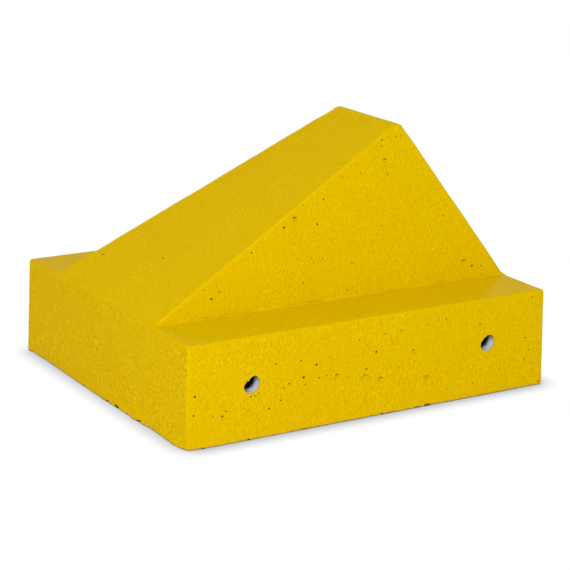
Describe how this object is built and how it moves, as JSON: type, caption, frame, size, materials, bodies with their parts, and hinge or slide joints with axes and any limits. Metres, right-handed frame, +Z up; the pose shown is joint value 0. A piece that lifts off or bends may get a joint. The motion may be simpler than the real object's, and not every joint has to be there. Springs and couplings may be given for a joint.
{
  "type": "lane divider block",
  "caption": "Painted concrete lane divider: a low drafted base with flat ledges, an off-centre wedge on top and sleeved rod holes through the base.",
  "frame": {"origin": "on the ground, under the middle of the foot", "axes": "+X along the block towards its steep end, +Y from the front face to the back, +Z up"},
  "size_m": [0.48, 0.4, 0.298],
  "materials": {
    "painted_concrete": "satin",
    "grey_conduit": "matte",
    "mill_steel": "matte",
    "annealed_wire": "matte"
  },
  "bodies": {
    "root": {"concrete_block": "painted_concrete", "left_rod_sleeve": "grey_conduit", "right_rod_sleeve": "grey_conduit", "front_long_bar": "mill_steel", "middle_long_bar": "mill_steel", "back_long_bar": "mill_steel", "left_cross_bar": "mill_steel", "middle_cross_bar": "mill_steel", "right_cross_bar": "mill_steel", "front_ridge_bar": "mill_steel", "back_ridge_bar": "mill_steel", "ridge_spacer_bar": "mill_steel", "tie_wires": "annealed_wire"}
  },
  "joints": []
}
